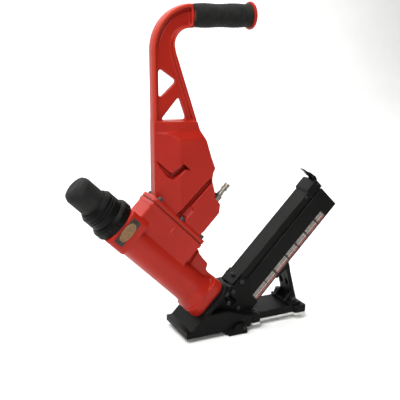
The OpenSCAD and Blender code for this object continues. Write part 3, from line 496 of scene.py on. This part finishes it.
def make_castings():
    rounded_copy("handle_casting", "handle_shell", "housing", RED, 1.0, 40, driver_axes=False,
                 reach=handle_reach, faces=220000, slots=[(HOOKED_SLOT, 6.5, 7), (LONG_SLOT, 6, 9)])
    rounded_copy("body_housing", "cylinder_shell", "housing", RED, 0.95, 7, faces=160000,
                 slots=[(LOW_SLOT, 5, 5)])
    rounded_copy(
        "grip_end_cap", "grip_end_disc", "housing", RED, 0.6, 6, driver_axes=False,
        faces=20000,
    )
    rounded_copy("nose_casting", "nose_shell", "housing", BLACK, 0.9, 4, faces=130000)
    rounded_copy(
        "base_plate", "base_shell", "housing", BLACK, 0.8, 5, driver_axes=False,
        faces=50000,
    )
    rounded_copy(
        "toe_plate", "toe_shell", "housing", BLACK, 0.7, 4, driver_axes=False,
        faces=40000,
    )
    rounded_copy(
        "rear_strut", "strut_shell", "housing", BLACK, 0.7, 4, driver_axes=False,
        faces=50000,
    )
    rounded_copy("bonnet", "bonnet_shell", "housing", BLACK, 0.7, 5, faces=50000)
    rounded_copy("strike_guard", "guard_shell", "housing", BLACK, 0.5, 4, faces=60000)
    rounded_copy("strike_cap", "cap_shell", "strike_head", RUBBER, 0.7, 5, faces=40000)
    rounded_copy(
        "magazine_channel", "channel_shell", "housing", SHEET, 0.7, 3, faces=90000,
        wear_and_highlight=1.6,
    )
    rounded_copy(
        "magazine_cover", "cover_shell", "cover", SHEET, 0.6, 4, faces=80000, wear_and_highlight=1.6,
    )
    rounded_copy("cover_block", "block_shell", "cover", SHEET, 0.55, 5, faces=50000, wear_and_highlight=1.4)
    rounded_copy("latch_lever", "lever_shell", "latch", SHEET, 0.4, 5, faces=30000, wear_and_highlight=1.4)
    rounded_copy(
        "sole_pad", "pad_shell", "housing", PAD, 0.6, 3, driver_axes=False, faces=30000,
    )


# ---------------------------------------------------------------- foam grip

def ring_mesh(name, profile, segments, to_world):
    """A closed ring turned from a profile of (radius, along) points; the profile closes on itself."""
    count = len(profile)
    verts, faces = [], []
    for i in range(segments):
        a = 2 * math.pi * i / segments
        verts += [to_world(r, along, a) for r, along in profile]
    for i in range(segments):
        j = (i + 1) % segments
        for k in range(count):
            m = (k + 1) % count
            faces.append((i * count + k, i * count + m, j * count + m, j * count + k))
    mesh = bpy.data.meshes.new(name)
    mesh.from_pydata(verts, [], faces)
    mesh.update()
    return mesh


# Foam sleeve, in millimetres: size, then the height and length of its long swells and fine ribs
GRIP_RADIUS, GRIP_BORE, GRIP_ROUND_END = 18.8, 11.1, 2.4
SWELL_HEIGHT, SWELL_LENGTH, SWELL_START = 0.55, 52, 22
RIB_HEIGHT, RIB_LENGTH = 0.16, 7.4
FLARE_HEIGHT, FLARE_LENGTH = 1.9, 9
BORE_INSET = 0.4


def make_grip():
    """A foam sleeve with soft swells, a flare at its end and slightly uneven sides."""
    low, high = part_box("foam_grip")
    length = (high[0] - low[0]) / MM
    middle = (low[2] + high[2]) / 2
    outer = []
    for along in np.linspace(0, length, 105):
        swell = SWELL_HEIGHT * math.cos(2 * math.pi * (along - SWELL_START) / SWELL_LENGTH)
        rib = RIB_HEIGHT * math.cos(2 * math.pi * along / RIB_LENGTH)
        flare = FLARE_HEIGHT * max(0.0, (along - (length - FLARE_LENGTH)) / FLARE_LENGTH) ** 1.5
        short = max(GRIP_ROUND_END - min(along, length - along), 0)
        dip = GRIP_ROUND_END - math.sqrt(max(GRIP_ROUND_END ** 2 - short ** 2, 0))
        outer.append((GRIP_RADIUS + swell + rib + flare - dip, along))
    inner = [(GRIP_BORE, along) for along in np.linspace(length - BORE_INSET, BORE_INSET, 30)]
    rng = np.random.default_rng(11)
    wave = rng.uniform(0, 2 * math.pi, 6)

    def place(r, along, a):
        if r > GRIP_BORE + 1:
            r += 0.12 * math.sin(3 * a + wave[0] + along / 9)
            r += 0.10 * math.sin(5 * a + wave[1] - along / 13)
        return (low[0] + along * MM, r * MM * math.sin(a), middle + r * MM * math.cos(a))

    mesh = ring_mesh("foam_sleeve", outer + inner, 128, place)
    piece = add_piece("foam_sleeve", mesh, "housing", FOAM, ["foam_grip"])


# ---------------------------------------------------------------- badge and strip

def driver_point(s, y, t):
    return DRIVER_FRAME @ Vector((s * MM, y * MM, t * MM))


def make_emblem():
    """A blank raised oval with a beaded rim in the middle of each badge plate."""
    rings = [
        (1.0, 0.0), (1.0, 0.45), (0.95, 0.7), (0.88, 0.7), (0.84, 0.4), (0.6, 0.45), (0.3, 0.62), (0.05, 0.66),
    ]
    half_s, half_t, mid_t, plate_face = 18.3, 9.1, 283.5, 34.15
    segments = 72
    verts, faces = [], []
    for side in (-1, 1):
        first = len(verts)
        for k, (share, rise) in enumerate(rings):
            for i in range(segments):
                a = 2 * math.pi * i / segments
                bead = 0.05 * math.cos(18 * a) if k == 2 else 0.0
                verts.append(driver_point(half_s * share * math.cos(a), side * (plate_face + rise + bead),
                                          mid_t + half_t * share * math.sin(a)))
        for k in range(len(rings) - 1):
            for i in range(segments):
                j = (i + 1) % segments
                quad = [first + k * segments + i, first + k * segments + j,
                        first + (k + 1) * segments + j, first + (k + 1) * segments + i]
                faces.append(quad if side < 0 else quad[::-1])
        last = [first + (len(rings) - 1) * segments + i for i in range(segments)]
        faces.append(last if side < 0 else last[::-1])
    mesh = bpy.data.meshes.new("badge_oval")
    mesh.from_pydata(verts, [], faces)
    mesh.update()
    add_piece("badge_oval", mesh, "housing", BRONZE)


def plate(verts, faces, owners, s_from, s_to, t_from, t_to, low_y, high_y, owner, corner):
    """A thin plate with round corners on the magazine's near side."""
    outline = []
    for cs, ct, start in ((s_to - corner, t_to - corner, 0), (s_from + corner, t_to - corner, 90),
                          (s_from + corner, t_from + corner, 180), (s_to - corner, t_from + corner, 270)):
        for i in range(7):
            a = math.radians(start + 15 * i)
            outline.append((cs + corner * math.cos(a), ct + corner * math.sin(a)))
    first, count = len(verts), len(outline)
    for y in (low_y, high_y):
        verts += [driver_point(s, y, t) for s, t in outline]
    faces.append([first + i for i in range(count)][::-1])
    faces.append([first + count + i for i in range(count)])
    for i in range(count):
        j = (i + 1) % count
        faces.append([first + i, first + j, first + count + j, first + count + i])
    owners += [owner] * (count + 2)


# Gauge strip, in millimetres in the driver frame
STRIP_SPAN = (57.5, 259)
STRIP_WIDTH = (-6, 9.5)
STRIP_FACE = -22.0
STRIP_THICK = 0.35
STRIP_PANELS = [(60, 92), (94, 116), (121, 151), (155, 179), (183, 206), (210, 235), (239, 256)]
GREY_ROW = (3.2, 8.6)
PALE_ROW = (-0.2, 2.2)
LINE_ROW = (-4.4, -0.9)


def make_strip():
    """Blank gauge strip: a dark band with pale panels over a dull red line, and no lettering."""
    verts, faces, owners = [], [], []
    plate(verts, faces, owners, *STRIP_SPAN, *STRIP_WIDTH, STRIP_FACE, STRIP_FACE - STRIP_THICK, 0, 3.8)
    low, high = STRIP_FACE - 0.2, STRIP_FACE - 0.5
    for s_from, s_to in STRIP_PANELS:
        plate(verts, faces, owners, s_from, s_to, *GREY_ROW, low, high, 2, 0.9)
        plate(verts, faces, owners, s_from - 0.6, s_to + 0.6, *PALE_ROW, low, high, 1, 0.7)
        plate(verts, faces, owners, s_from - 0.6, s_to + 0.6, *LINE_ROW, low, high, 3, 0.7)
    mesh = bpy.data.meshes.new("gauge_strip")
    mesh.from_pydata(verts, [], faces)
    mesh.update()
    add_piece("gauge_strip", mesh, "housing", STRIP_BASE, ["size_strip"])
    mesh.materials.append(STRIP_PALE)
    mesh.materials.append(STRIP_GREY)
    mesh.materials.append(STRIP_LINE)
    mesh.polygons.foreach_set("material_index", owners)
    mesh.polygons.foreach_set("use_smooth", [False] * len(mesh.polygons))


make_camera()
make_light()
make_floor()
paint_nodes()
make_castings()
make_grip()
make_emblem()
make_strip()
